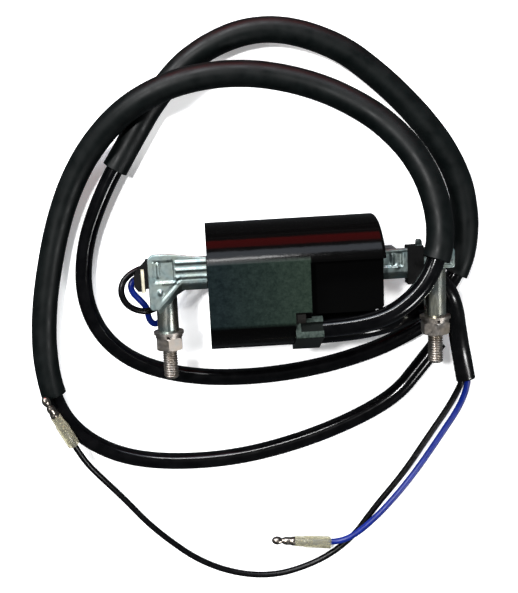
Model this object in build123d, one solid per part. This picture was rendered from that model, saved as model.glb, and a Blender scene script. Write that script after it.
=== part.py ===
from build123d import *
import math
import os

# Twin-lead ignition coil for a small engine, lying on its back.
# +X runs along the coil's axis, +Z up and away from the surface it lies on, and the mounting bolts
# point along -Y. The origin is under the middle of the rigid object, on the surface. Millimetres.

# ---- case ----
AXIS_Y = 5.75
AXIS_Z = 24.0
CASE_R = 25.0
CASE_LEFT = -36.5
CASE_RIGHT = 30.0
CASE_WALL = 2.4
CASE_EDGE_R = 1.5
FLAT_EDGE_R = 0.8        # front flat, where it meets the round of the case
RECESS_EDGE_R = 0.6
FRONT_FLAT = 22.1        # heights and widths of the case are measured from its axis
RECESS_LEFT = 2.0        # recess in the front, to the right of the flat
RECESS_FLOOR = 15.0
RECESS_TOP = 10.8
NOTCH_LEFT = 4.0         # notch beside the recess, which the plug leads run in
NOTCH_TOP = -10.4
NOTCH_FLOOR = -3.0
GROOVE_WIDTH = 6.4       # groove along the back for the two low-tension wires
GROOVE_DEPTH = 3.8
POTTING_INSET = 1.5
POTTING_FLOOR = GROOVE_DEPTH + 1.9

# ---- core and windings ----
CORE_SIDE = 8.6
CORE_Y = AXIS_Y + 7.25
WEB_BACK = AXIS_Z + 5.1  # the bracket arms lie on the core's front face
CORE_Z = WEB_BACK - CORE_SIDE / 2
CORE_LEFT = -46.0
CORE_RIGHT = 37.0
LAMINATIONS = 8
VARNISH = 0.05
BOBBIN_LEFT = -32.0
BOBBIN_RIGHT = 25.0
BOBBIN_FLANGE = 1.4
PRIMARY_TUBE_R = 7.2
PRIMARY_R = 8.9
SECONDARY_TUBE_R = 9.7
SECONDARY_R = 11.3
SECONDARY_FLANGE_R = 11.7
SECTIONS = 4

# ---- brackets and mounting hardware ----
BOLT_X = 53.2            # half the distance between the two mounting bolts
THREAD_R = 3.0
SHANK_R = 2.65
HEAD_AF = 10.0
HEAD = 4.0
HEX_CHAMFER = 0.6
TIP_CHAMFER = 0.6
NUT = 5.0
SPACER_R = 4.25
SPACER_END = AXIS_Y - 17.2
WASHER_R = 6.0
WASHER = 1.0
SPRING_R = 5.4
SPRING = 1.3
SPRING_GAP = 1.2
THREAD_FREE = 12.0
BORE_SLACK = 0.05
SHEET = 1.6
BRACKET_END = 59.5
LUG_FACE = AXIS_Y + 4.75 # the bolt head's side of each bracket's lug
LUG_BOTTOM = AXIS_Z - 6.0
LUG_INNER = 47.3
LUG_CORNER_R = 2.0
FLANGE_DROP = 4.3        # each arm's lower edge is bent back at 45 degrees
LEFT_ARM = (8.6, 18.4)   # lower and upper edge of each arm, in Y, at the case
LEFT_RISE = 2.1          # how much wider the left one is at its outer end
RIGHT_ARM = (8.2, 17.2)
PAD_NARROWS = (-46.8, 6.2)                                   # where the left pad's slope meets its arm
TOE = [(-56.4, -1.2), (-56.8, -4.6), (-54.6, -4.6)]          # tip of the left pad, beside the bolt
LEFT_FLANGE_END = -47.6
NUB = (-55.2, 5.4)       # raised nub on the left pad
NUB_R = 1.1
NUB_HEIGHT = 0.8
RIGHT_STEP = 0.7         # how far the right arm's lower edge steps up over its lug
TAB_FROM = 44.3
TAB_TO = 46.6
TAB_RISE = 3.4
BAND_FROM = 41.0
BAND_TO = 47.2
BAND_WALL = 0.8

# ---- plug leads, low-tension wires and what is on them ----
LEAD_R = 3.5
LEAD_A = (AXIS_Y - 16.4, AXIS_Z + 15.0)    # where each lead leaves the retainer: Y and Z
LEAD_B = (AXIS_Y - 21.0, AXIS_Z + 6.0)
LEAD_START = -2.4
RETAINER_LEFT = -4.4
RETAINER_RIGHT = 6.1
RETAINER_WIDTH = 8.6
RETAINER_OVER = 4.8
RETAINER_GROOVE = (2.4, 3.6)    # twice its depth, and its width, in the edge above lead A
TERMINAL_R = 2.5
LINK_X = (-12.0, -16.0)  # where each lead's link meets the secondary winding
LINK_R = 0.6
LINK_BEND = 1.5
SLEEVE_R = 5.25
SLEEVE_BORE = 3.9
CHANNEL_R = 4.0           # scooped in the edge of the recess where lead A passes over it
CONDUCTOR_R = 1.1
CONDUCTOR_IN = 5.0
CONDUCTOR_OUT = 0.6
WIRE_R = 1.3
WIRE_SPREAD = 1.42       # each wire's distance from the middle of the sheath
SHEATH_R = 3.6
SHEATH_BORE = 3.15
BULLET = [               # radius and distance from the wire's end, along the bullet and its crimp
    (0, 0), (1.6, 0), (1.6, 7.8), (1.9, 8.1), (1.9, 9.1), (1.7, 9.4), (1.7, 12), (1.2, 12.8), (1.2, 13.6),
    (1.7, 14.6), (1.7, 16.4), (0.8, 18), (0, 18),
]
INSULATOR = [            # the same for the clear sleeve over the crimp, outside and then inside
    (1.75, -8.2), (2.6, -8.2), (2.6, 2.9), (2.25, 3.5), (2.25, 7.8), (1.75, 7.8),
]
HOOK_FROM = 21.6
BLOCK = (-61.1, -59.55, 6.8, 16.8, 15.6, 28.4)      # six faces: low and high X, Y and Z
STRIP = (-62.4, -61.1, 5.2, 14.8, HOOK_FROM, 28.0)
HOOK = [                 # outline in X and Y of the block's hooked upper part, which the strip sits in
    (-59.55, 6.8), (-59.55, 16.8), (-61.1, 16.8), (-64.1, 14), (-65.2, 12), (-65.2, 7.8), (-63.8, 5.8),
    (-62.4, 5.8), (-62.4, 14.8), (-61.1, 14.8), (-61.1, 6.8),
]

# ---- routes of the free cords, corner by corner ----
ROUTE_A = [
    (LEAD_START, *LEAD_A), (13.5, *LEAD_A), (30, -7.9, 39.4), (40.5, -1.5, 39), (48.2, 7.3, 37.8),
    (52.8, 19.5, 36.2), (52, 36, 33), (46, 52, 28.5), (34, 66.5, 23.2), (17, 77.8, 18.7), (-4, 85.3, 16.6),
    (-25, 87.8, 16.8), (-47, 84.8, 17.6), (-66.5, 75.5, 14), (-83.5, 58.5, 8), (-95.3, 36, 5.3),
    (-103, 9, 5.3), (-106.8, -14, 5.3), (-106.6, -33, 5.3), (-102.6, -49.5, 5.3), (-92.8, -62.5, 4.1),
    (-77, -71.5, 3.5), (-56, -75.2, 3.5), (-29, -74.8, 3.5), (-2, -69.3, 3.5), (23, -60.5, 3.5),
    (41.5, -50.5, 3.5), (51.5, -38.5, 3.5), (60, -28, 3.5),
]
SLEEVE_A = (4, 18)       # a sleeve runs from the middle of one run to the middle of another
ROUTE_B = [
    (LEAD_START, *LEAD_B), (13.5, *LEAD_B), (30, -14.2, 27.6), (42, -12.8, 20.3), (54, -10.6, 10),
    (63.6, -4, 5.5), (69.2, 6.5, 5.3), (71.5, 21.5, 5.3), (69, 40, 5.3), (59, 59, 5.3), (40, 80.5, 5.3),
    (19, 97.5, 5.3), (-9, 105.8, 5.3), (-35.5, 97.5, 5.3), (-53.5, 80, 5.3), (-66, 61, 5.3),
    (-77, 44, 5.3), (-86.5, 22.5, 4.1), (-89, 1, 3.5), (-83, -17, 3.5), (-69, -30, 3.5),
    (-46, -37.3, 3.5), (-20, -38.9, 3.5), (5, -36.7, 3.5), (26, -32, 3.5), (43.5, -25.7, 3.5),
    (57.5, -17.5, 3.5),
]
SLEEVE_B = (5, 15)
SHEATH = [
    (38.5, 6.6, 4.9), (46.3, 7.4, 9.7), (54.5, 4.3, 14), (60.8, -3, 16.3), (64.3, -12.5, 13),
    (67, -23.5, 7), (69.5, -35, 4), (71.4, -45.5, 3.6),
]
BLUE_HEAD = [
    (-33, 11.3, 16.3), (-43.5, 11.4, 16.2), (-54.5, 10.9, 16.4), (-62.4, 10.4, 17.3), (-67.2, 8.6, 19),
    (-67.4, 4.6, 19.2), (-64.4, 0.8, 18.2), (-61.4, -3.5, 16.2), (-61.6, -8.2, 14.6), (-59.2, -11.4, 13.2),
    (-55.9, -9.4, 11.6), (-53, -4.2, 8.8), (-49.8, 1.6, 5.6), (-44.8, 6, 2.8), (-37.5, 7.3, 1.4),
    (-22, 7.1, 1.3), (4, 7.4, 1.3), (20, 7.2, 1.3), (31.5, 7.5, 1.9),
]
BLUE_TAIL = [
    (70, -57, 1.6), (62.2, -69, 1.3), (51.5, -84.5, 1.6), (40, -97.5, 3.6), (29.2, -108, 4.6),
    (19, -116, 3.8), (10.8, -117.6, 2.7), (3, -116.8, 2.7),
]
BLACK_HEAD = [
    (-33, 14.2, 16.3), (-43.5, 14.3, 16.3), (-55, 14.1, 16.6), (-63.3, 13.7, 19), (-69.3, 10.7, 22.2),
    (-71.5, 5.3, 23.3), (-69.1, -0.8, 22.9), (-62.7, -4.2, 20.7), (-56.8, -3.1, 17.3), (-51.6, 0.6, 12.4),
    (-45.5, 3.2, 6.8), (-38.5, 4.2, 1.8), (-27.5, 4.1, 1.3), (-8, 4.3, 1.3), (13, 4.1, 1.3), (29.5, 4.7, 1.9),
]
BLACK_TAIL = [
    (67.9, -51.4, 2.2), (63.9, -59, 1.4), (55.2, -71.5, 1.3), (44, -88, 1.3), (31.5, -102.5, 1.3),
    (20.5, -117.5, 1.3), (4.5, -128, 1.3), (-18.5, -133.7, 1.3), (-44.5, -126.3, 1.3), (-66.5, -107.5, 1.3),
    (-79, -91.5, 1.6), (-87.5, -80.5, 4), (-92.9, -72.4, 6.9), (-97, -63.3, 9.3), (-100.5, -54.8, 11.6),
]

parts = {}


def across(x, y=AXIS_Y, z=AXIS_Z):
    """A plane square to the coil's axis: its own x is the part's Y, its own y the part's Z."""
    return Plane(origin=(x, y, z), x_dir=(0, 1, 0), z_dir=(1, 0, 0))


def drum(x0, x1, outer, y, z, bore=0.0):
    """A round bar or ring along X, from x0 to x1."""
    ring = Circle(outer)
    if bore:
        ring -= Circle(bore)
    return extrude(across(x0, y, z) * ring, amount=x1 - x0)


def block(x0, x1, y0, y1, z0, z1):
    """A box by its six faces."""
    centre = Pos((x0 + x1) / 2, (y0 + y1) / 2, (z0 + z1) / 2)
    return centre * Box(x1 - x0, y1 - y0, z1 - z0)


def along_y(x, y0, y1, sketch):
    """A sketch pushed along -Y from y0 to y1, centred on one mounting bolt."""
    plane = Plane(origin=(x, y0, AXIS_Z), x_dir=(1, 0, 0), z_dir=(0, -1, 0))
    return extrude(plane * sketch, amount=y0 - y1)


def corner_radii(route):
    """The radius at each corner: as large as its two straight runs allow."""
    points = [Vector(*p) for p in route]
    radii = []
    for before, corner, after in zip(points, points[1:], points[2:]):
        shorter = min((corner - before).length, (after - corner).length)
        half_turn = math.radians((corner - before).get_angle(after - corner)) / 2
        radii.append(0.45 * shorter / math.tan(half_turn))
    return radii


def sweep_route(route, radii, section):
    """A section swept along straight runs joined by tangent arcs."""
    path = FilletPolyline(*route, radius=radii)
    start = Plane(origin=route[0], z_dir=Vector(*route[1]) - Vector(*route[0]))
    return sweep(start * section, path=path), path.length


def cord(name, route, radius):
    """One free cord as a plain tube; prints its length, volume and radii."""
    radii = corner_radii(route)
    tube, length = sweep_route(route, radii, Circle(radius))
    expected = math.pi * radius ** 2 * length
    print(f"{name}: length {length:.1f}, volume / section x length {tube.volume / expected:.4f}")
    print("   radii", [round(r, 1) for r in radii])
    parts[name] = tube


def sleeve(name, route, span, section):
    """A sleeve round a cord, from the middle of one of its runs to the middle of another."""
    first, last = span
    start = (Vector(*route[first]) + Vector(*route[first + 1])) / 2
    end = (Vector(*route[last]) + Vector(*route[last + 1])) / 2
    inner = route[first + 1:last + 1]
    radii = corner_radii(route)[first:last]
    parts[name], length = sweep_route([tuple(start), *inner, tuple(end)], radii, section)
    print(f"{name}: length {length:.1f}")


def beside(route, distance):
    """A route's points moved sideways, level with it: the path of one wire in the sheath."""
    points = [Vector(*p) for p in route]
    moved = []
    for i, point in enumerate(points):
        ahead = points[min(i + 1, len(points) - 1)] - points[max(i - 1, 0)]
        side = Vector(-ahead.Y, ahead.X, 0).normalized()
        moved.append(tuple(point + side * distance))
    return moved


def core_space():
    """The square bar of space that the whole core fills."""
    half = CORE_SIDE / 2
    return block(CORE_LEFT, CORE_RIGHT, CORE_Y - half, CORE_Y + half, WEB_BACK - CORE_SIDE, WEB_BACK)


def make_windings():
    """Laminated core, both bobbins and both windings, all on the core's axis."""
    pitch = CORE_SIDE / LAMINATIONS
    floor = WEB_BACK - CORE_SIDE
    half = CORE_SIDE / 2
    plates = []
    for i in range(LAMINATIONS):
        top = floor + (i + 1) * pitch
        plates.append(block(CORE_LEFT, CORE_RIGHT, CORE_Y - half, CORE_Y + half, top - pitch + VARNISH, top))
    parts["core_laminations"] = Compound(plates)

    bobbin = drum(BOBBIN_LEFT, BOBBIN_RIGHT, PRIMARY_TUBE_R, CORE_Y, CORE_Z)
    left_end = BOBBIN_LEFT + BOBBIN_FLANGE
    right_end = BOBBIN_RIGHT - BOBBIN_FLANGE
    bobbin += drum(BOBBIN_LEFT, left_end, PRIMARY_R, CORE_Y, CORE_Z)
    bobbin += drum(right_end, BOBBIN_RIGHT, PRIMARY_R, CORE_Y, CORE_Z)
    parts["primary_bobbin"] = bobbin - core_space()
    parts["primary_winding"] = drum(left_end, right_end, PRIMARY_R, CORE_Y, CORE_Z, PRIMARY_TUBE_R)

    outer = drum(left_end, right_end, SECONDARY_TUBE_R, CORE_Y, CORE_Z, PRIMARY_R)
    pitch = (right_end - left_end - BOBBIN_FLANGE) / SECTIONS
    sections = []
    for i in range(SECTIONS + 1):
        x = left_end + i * pitch
        outer += drum(x, x + BOBBIN_FLANGE, SECONDARY_FLANGE_R, CORE_Y, CORE_Z, PRIMARY_R)
        if i < SECTIONS:
            sections.append(drum(x + BOBBIN_FLANGE, x + pitch, SECONDARY_R, CORE_Y, CORE_Z, SECONDARY_TUBE_R))
    parts["secondary_bobbin"] = outer
    parts["secondary_winding"] = Compound(sections)


def retainer_plane(x):
    """A plane on the retainer's middle, its own x pointing from lead B to lead A."""
    y = (LEAD_A[0] + LEAD_B[0]) / 2
    z = (LEAD_A[1] + LEAD_B[1]) / 2
    return Plane(origin=(x, y, z), x_dir=(0, LEAD_A[0] - LEAD_B[0], LEAD_A[1] - LEAD_B[1]), z_dir=(1, 0, 0))


def make_lead_exit():
    """The moulded retainer that holds both plug leads, their terminals and the links inside."""
    apart = math.dist(LEAD_A, LEAD_B)
    length = apart + 2 * RETAINER_OVER
    body = extrude(retainer_plane(RETAINER_LEFT) * RectangleRounded(length, RETAINER_WIDTH, 1.0),
                   amount=RETAINER_RIGHT - RETAINER_LEFT)
    envelope = body
    opening = Pos(length / 2 + CASE_R / 2, 0) * Rectangle(CASE_R, RETAINER_WIDTH)
    opening = extrude(retainer_plane(RETAINER_LEFT) * opening, amount=RETAINER_RIGHT - RETAINER_LEFT)
    groove = Pos(length / 2, 0) * Rectangle(*RETAINER_GROOVE)
    body -= extrude(retainer_plane(LEAD_START) * groove, amount=RETAINER_RIGHT - LEAD_START)
    for name, (y, z), winding_x in zip("ab", (LEAD_A, LEAD_B), LINK_X):
        body -= drum(LEAD_START, RETAINER_RIGHT, LEAD_R, y, z)
        body -= drum(RETAINER_LEFT, LEAD_START, TERMINAL_R, y, z)
        parts[f"ht_terminal_{name}"] = drum(RETAINER_LEFT, LEAD_START, TERMINAL_R, y, z)
        inward = Vector(0, CORE_Y - y, CORE_Z - z).normalized()
        start = Vector(RETAINER_LEFT, y, z) + inward * LINK_R
        middle = Vector(winding_x, y, z) + inward * LINK_BEND
        end = Vector(winding_x, CORE_Y, CORE_Z) - inward * (SECONDARY_FLANGE_R + LINK_R)
        link, _ = sweep_route([tuple(start), tuple(middle), tuple(end)], [LINK_BEND], Circle(LINK_R))
        parts[f"ht_link_{name}"] = link - drum(RETAINER_LEFT, 0, TERMINAL_R, y, z)
    parts["lead_retainer"] = body
    return envelope, opening


def make_case(envelope, opening):
    """The moulded case, open at its left end, and the potting that fills it."""
    bottom = block(CASE_LEFT, CASE_RIGHT, AXIS_Y - CASE_R, AXIS_Y + CASE_R, 0, AXIS_Z + FRONT_FLAT)
    case = drum(CASE_LEFT, CASE_RIGHT, CASE_R, AXIS_Y, AXIS_Z)
    case = fillet(case.faces().sort_by(Axis.X)[-1].edges(), CASE_EDGE_R) & bottom
    far = CASE_R + 1
    front = case.faces().sort_by(Axis.Z)[-1]
    case = fillet(front.edges().filter_by(Axis.X), FLAT_EDGE_R)
    case -= block(RECESS_LEFT, CASE_RIGHT + 1, AXIS_Y - far, AXIS_Y + RECESS_TOP,
                  AXIS_Z + RECESS_FLOOR, AXIS_Z + far)
    front = case.faces().sort_by(Axis.Z)[-1]
    case = fillet(front.edges().filter_by(Axis.Y).sort_by(Axis.X)[-1], RECESS_EDGE_R)
    case -= block(NOTCH_LEFT, CASE_RIGHT + 1, AXIS_Y - far, AXIS_Y + NOTCH_TOP,
                  AXIS_Z + NOTCH_FLOOR, AXIS_Z + far)
    case -= block(CASE_LEFT - 1, CASE_RIGHT + 1, AXIS_Y - GROOVE_WIDTH / 2, AXIS_Y + GROOVE_WIDTH / 2,
                  -1, GROOVE_DEPTH)
    channel, _ = sweep_route(ROUTE_A[:4], corner_radii(ROUTE_A)[:2], Circle(CHANNEL_R))
    case -= channel & block(NOTCH_LEFT, CASE_RIGHT + 5, AXIS_Y - far, AXIS_Y, AXIS_Z, AXIS_Z + far)
    wall = CASE_WALL
    cavity = drum(CASE_LEFT, CASE_RIGHT - wall, CASE_R - wall, AXIS_Y, AXIS_Z)
    cavity &= block(CASE_LEFT, CASE_RIGHT, AXIS_Y - far, AXIS_Y + far,
                    POTTING_FLOOR, AXIS_Z + FRONT_FLAT - wall)
    cavity -= block(RECESS_LEFT - wall, CASE_RIGHT, AXIS_Y - far, AXIS_Y + RECESS_TOP + wall,
                    AXIS_Z + RECESS_FLOOR - wall, AXIS_Z + far)
    cavity -= block(NOTCH_LEFT - wall, CASE_RIGHT, AXIS_Y - far, AXIS_Y + NOTCH_TOP + wall,
                    AXIS_Z + NOTCH_FLOOR - wall, AXIS_Z + far)
    case -= cavity
    case -= envelope
    case -= opening
    parts["case_shell"] = case - core_space()
    potting = cavity - block(CASE_LEFT - 1, CASE_LEFT + POTTING_INSET, AXIS_Y - far, AXIS_Y + far,
                             0, AXIS_Z + far)
    potting -= drum(BOBBIN_LEFT, BOBBIN_RIGHT, PRIMARY_R, CORE_Y, CORE_Z)
    potting -= envelope
    potting -= core_space()
    embedded = ("secondary_bobbin", "secondary_winding", "ht_link_a", "ht_link_b", "blue_wire", "black_wire")
    for name in embedded:
        potting -= parts[name]
    parts["potting_compound"] = potting


def arm_flange(x0, x1, edge):
    """The strip along an arm's lower edge that is bent back at 45 degrees."""
    top = WEB_BACK + SHEET
    slant = SHEET / math.sqrt(2)
    points = [(edge, top), (edge - FLANGE_DROP + slant, top - FLANGE_DROP + slant),
              (edge - FLANGE_DROP + 2 * slant, top - FLANGE_DROP), (edge, WEB_BACK - slant / 2)]
    outline = make_face(Polyline(*points, close=True))
    return extrude(Plane(origin=(x0, 0, 0), x_dir=(0, 1, 0), z_dir=(1, 0, 0)) * outline, amount=x1 - x0)


def lug(side):
    """The part of a bracket that stands square to its bolt."""
    width = BRACKET_END - LUG_INNER
    height = WEB_BACK - LUG_BOTTOM
    sketch = RectangleRounded(width, 2 * height, LUG_CORNER_R)
    x = side * (BRACKET_END + LUG_INNER) / 2
    plane = Plane(origin=(x, LUG_FACE, WEB_BACK), x_dir=(1, 0, 0), z_dir=(0, -1, 0))
    sheet = extrude(plane * sketch, amount=SHEET)
    sheet &= block(x - width, x + width, LUG_FACE - SHEET, LUG_FACE, LUG_BOTTOM, WEB_BACK + SHEET / 2)
    return sheet - along_y(side * BOLT_X, LUG_FACE, LUG_FACE - SHEET, Circle(SHANK_R + BORE_SLACK))


def plate(points, rounding):
    """A flat sheet in the plane of the arms, with its named corners rounded."""
    outline = make_face(Polyline(*points, close=True))
    for index, radius in rounding:
        corner = Vector(*points[index], 0)
        vertex = min(outline.vertices(), key=lambda v: (Vector(v.X, v.Y, 0) - corner).length)
        outline = fillet(vertex, radius)
    return Pos(0, 0, WEB_BACK) * extrude(outline, amount=SHEET)


def make_brackets():
    """Pressed steel brackets: arm, pad over the bolt, lug and bent lower edge."""
    low, high = LEFT_ARM
    end = -BRACKET_END
    left = plate([(CASE_LEFT, low), (CASE_LEFT, high), (end, high + LEFT_RISE), (end, TOE[0][1]), *TOE,
                  PAD_NARROWS, (PAD_NARROWS[0], low)],
                 [(2, 3.0), (3, 1.5), (4, 1.3), (5, 0.8), (6, 0.8)])
    left += arm_flange(LEFT_FLANGE_END, CASE_LEFT, low)
    left += lug(-1)
    left += Pos(*NUB, WEB_BACK + SHEET + NUB_HEIGHT / 2) * Cylinder(NUB_R, NUB_HEIGHT)
    parts["left_bracket"] = left

    low, high = RIGHT_ARM
    end = BRACKET_END
    right = plate([(CASE_RIGHT, low), (CASE_RIGHT, high), (TAB_FROM, high), (TAB_FROM, high + TAB_RISE),
                   (TAB_TO, high + TAB_RISE), (TAB_TO, high), (end, high), (end, low + RIGHT_STEP),
                   (LUG_INNER, low + RIGHT_STEP), (LUG_INNER, low)],
                  [(3, 0.9), (4, 0.9), (6, 2.5), (7, 1.2)])
    right += arm_flange(CASE_RIGHT, LUG_INNER, low)
    right += lug(1)
    parts["right_bracket"] = right
    bottom = low - FLANGE_DROP
    back = WEB_BACK + SHEET - FLANGE_DROP
    front = WEB_BACK + SHEET
    inner = block(BAND_FROM, BAND_TO, bottom, high, back, front)
    wall = BAND_WALL
    outer = block(BAND_FROM, BAND_TO, bottom - wall, high + wall, back - wall, front + wall)
    tab = block(BAND_FROM, BAND_TO, high, high + TAB_RISE, WEB_BACK, front) & right
    parts["right_arm_band"] = outer - inner - tab


def hexagon(x, y0, y1, turn):
    """A bolt head or nut from y0 to y1, turned about its axis, with its corners chamfered at both ends."""
    prism = along_y(x, y0, y1, RegularPolygon(HEAD_AF / 2, 6, major_radius=False, rotation=turn))
    corner_r = HEAD_AF / 2 / math.cos(math.pi / 6)
    bar = along_y(x, y0, y1, Circle(corner_r))
    return prism & chamfer(bar.edges().filter_by(GeomType.CIRCLE), HEX_CHAMFER)


def make_hardware(side, name):
    """One mounting bolt with its spacer, washers and nut, from its head down."""
    x = side * BOLT_X
    under_head = LUG_FACE
    spacer_top = LUG_FACE - SHEET
    washer_end = SPACER_END - WASHER
    spring_end = washer_end - SPRING
    nut_end = spring_end - NUT
    bolt = hexagon(x, under_head + HEAD, under_head, 0)
    bolt += along_y(x, under_head, nut_end, Circle(SHANK_R))
    bolt += along_y(x, nut_end, nut_end - THREAD_FREE, Circle(THREAD_R))
    tip = bolt.faces().sort_by(Axis.Y)[0].edges()
    parts[f"{name}_bolt"] = chamfer(tip, TIP_CHAMFER)
    bore = Circle(SHANK_R + BORE_SLACK)
    parts[f"{name}_spacer"] = along_y(x, spacer_top, SPACER_END, Circle(SPACER_R) - bore)
    parts[f"{name}_washer"] = along_y(x, SPACER_END, washer_end, Circle(WASHER_R) - bore)
    gap = Pos(0, SPRING_R / 2) * Rectangle(SPRING_GAP, SPRING_R + 1)
    parts[f"{name}_spring_washer"] = along_y(x, washer_end, spring_end, Circle(SPRING_R) - bore - gap)
    parts[f"{name}_nut"] = hexagon(x, spring_end, nut_end, 30) - along_y(x, spring_end, nut_end, bore)


def make_cords():
    """Both plug leads and both low-tension wires, with their sleeves."""
    cord("ht_lead_a", ROUTE_A, LEAD_R)
    cord("ht_lead_b", ROUTE_B, LEAD_R)
    cord("blue_wire", [*BLUE_HEAD, *beside(SHEATH, WIRE_SPREAD), *BLUE_TAIL], WIRE_R)
    cord("black_wire", [*BLACK_HEAD, *beside(SHEATH, -WIRE_SPREAD), *BLACK_TAIL], WIRE_R)
    annulus = Circle(SLEEVE_R) - Circle(SLEEVE_BORE)
    sheath = Circle(SHEATH_R) - Circle(SHEATH_BORE)
    sleeve("lead_sleeve_a", ROUTE_A, SLEEVE_A, annulus)
    sleeve("lead_sleeve_b", ROUTE_B, SLEEVE_B, annulus)
    parts["wire_sheath"], _ = sweep_route(SHEATH, corner_radii(SHEATH), sheath)
    for name, route in (("a", ROUTE_A), ("b", ROUTE_B)):
        tip = Vector(*route[-1])
        out = (tip - Vector(*route[-2])).normalized()
        plane = Plane(origin=tip - out * CONDUCTOR_IN, z_dir=out)
        conductor = extrude(plane * Circle(CONDUCTOR_R), amount=CONDUCTOR_IN + CONDUCTOR_OUT)
        parts[f"ht_conductor_{name}"] = conductor
        parts[f"ht_lead_{name}"] -= conductor


def make_bullet(colour, tail):
    """A bullet terminal crimped on a wire's end, and its clear insulating sleeve."""
    tip = Vector(*tail[-1])
    out = (tip - Vector(*tail[-2])).normalized()
    plane = Plane(origin=tip, x_dir=Vector(0, 0, 1).cross(out), z_dir=out)
    for name, outline in (("bullet", BULLET), ("bullet_sleeve", INSULATOR)):
        profile = make_face(Polyline(*outline, close=True))
        parts[f"{name}_{colour}"] = plane.location * revolve(Plane.XZ * profile, Axis.Z)


def make_wire_block():
    """The black block that both wires pass through at the left bracket's end, and the pale strip in it."""
    hook = extrude(Pos(0, 0, HOOK_FROM) * make_face(Polyline(*HOOK, close=True)), amount=BLOCK[5] - HOOK_FROM)
    parts["wire_block"] = block(*BLOCK) + hook - parts["blue_wire"] - parts["black_wire"]
    parts["insulator_strip"] = block(*STRIP)


make_cords()
make_windings()
retainer_envelope, retainer_opening = make_lead_exit()
make_case(retainer_envelope, retainer_opening)
make_brackets()
make_hardware(-1, "left")
make_hardware(1, "right")
make_bullet("blue", BLUE_TAIL)
make_bullet("black", BLACK_TAIL)
make_wire_block()

os.makedirs("parts", exist_ok=True)
for node, shape in parts.items():
    solids = shape.solids()
    whole = solids[0] if len(solids) == 1 else Compound(solids)
    export_step(whole, f"parts/{node}.step")
print(len(parts), "nodes")
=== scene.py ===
import bmesh
import bpy
import math
from mathutils import Matrix, Vector, noise


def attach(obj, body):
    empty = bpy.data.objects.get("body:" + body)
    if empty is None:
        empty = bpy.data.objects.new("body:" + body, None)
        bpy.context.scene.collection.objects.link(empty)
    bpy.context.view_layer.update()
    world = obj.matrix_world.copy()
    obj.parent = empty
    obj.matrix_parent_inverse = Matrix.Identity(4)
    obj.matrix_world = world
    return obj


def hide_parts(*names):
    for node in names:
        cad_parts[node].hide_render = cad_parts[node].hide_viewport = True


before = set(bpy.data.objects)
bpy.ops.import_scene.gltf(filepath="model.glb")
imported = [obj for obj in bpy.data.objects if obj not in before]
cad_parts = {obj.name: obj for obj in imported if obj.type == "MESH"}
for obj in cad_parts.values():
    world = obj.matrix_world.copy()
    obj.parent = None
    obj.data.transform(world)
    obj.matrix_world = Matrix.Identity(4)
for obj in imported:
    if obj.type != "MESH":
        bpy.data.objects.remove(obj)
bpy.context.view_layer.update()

# Twin-lead ignition coil lying on its back. Lengths are in millimetres here and turned to metres by MM.
MM = 0.001
ROOT = "root"

# ---- sizes shared with the CAD model ----
AXIS_Y = 5.75
AXIS_Z = 24.0
BOLT_X = 53.2
CASE_LEFT = -36.5
CASE_RIGHT = 30.0
FRONT_FLAT = AXIS_Z + 22.1
RECESS_LEFT = 2.0
WEB_BACK = AXIS_Z + 5.1
SHEET = 1.6
LEAD_R = 3.5
SLEEVE_R = 5.25
WIRE_R = 1.3
WIRE_SPREAD = 1.42
SHEATH_R = 3.6
LEAD_A = (AXIS_Y - 16.4, AXIS_Z + 15.0)
LEAD_B = (AXIS_Y - 21.0, AXIS_Z + 6.0)
LEAD_START = -2.4

# ---- routes of the free cords: the control points of one smooth line each ----
ROUTE_A = [
    (LEAD_START, *LEAD_A), (13.5, *LEAD_A), (30, -7.9, 39.4), (40.5, -1.5, 39), (48.2, 7.3, 37.8),
    (52.8, 19.5, 36.2), (52, 36, 33), (46, 52, 28.5), (34, 66.5, 23.2), (17, 77.8, 18.7), (-4, 85.3, 16.6),
    (-25, 87.8, 16.8), (-47, 84.8, 17.6), (-66.5, 75.5, 14), (-83.5, 58.5, 8), (-95.3, 36, 5.3),
    (-103, 9, 5.3), (-106.8, -14, 5.3), (-106.6, -33, 5.3), (-102.6, -49.5, 5.3), (-92.8, -62.5, 4.1),
    (-77, -71.5, 3.5), (-56, -75.2, 3.5), (-29, -74.8, 3.5), (-2, -69.3, 3.5), (23, -60.5, 3.5),
    (41.5, -50.5, 3.5), (51.5, -38.5, 3.5), (60, -28, 3.5),
]
SLEEVE_A = (4, 18)
ROUTE_B = [
    (LEAD_START, *LEAD_B), (13.5, *LEAD_B), (30, -14.2, 27.6), (42, -12.8, 20.3), (54, -10.6, 10),
    (63.6, -4, 5.5), (69.2, 6.5, 5.3), (71.5, 21.5, 5.3), (69, 40, 5.3), (59, 59, 5.3), (40, 80.5, 5.3),
    (19, 97.5, 5.3), (-9, 105.8, 5.3), (-35.5, 97.5, 5.3), (-53.5, 80, 5.3), (-66, 61, 5.3),
    (-77, 44, 5.3), (-86.5, 22.5, 4.1), (-89, 1, 3.5), (-83, -17, 3.5), (-69, -30, 3.5),
    (-46, -37.3, 3.5), (-20, -38.9, 3.5), (5, -36.7, 3.5), (26, -32, 3.5), (43.5, -25.7, 3.5),
    (57.5, -17.5, 3.5),
]
SLEEVE_B = (5, 15)
SHEATH = [
    (38.5, 6.6, 4.9), (46.3, 7.4, 9.7), (54.5, 4.3, 14), (60.8, -3, 16.3), (64.3, -12.5, 13),
    (67, -23.5, 7), (69.5, -35, 4), (71.4, -45.5, 3.6),
]
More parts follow.
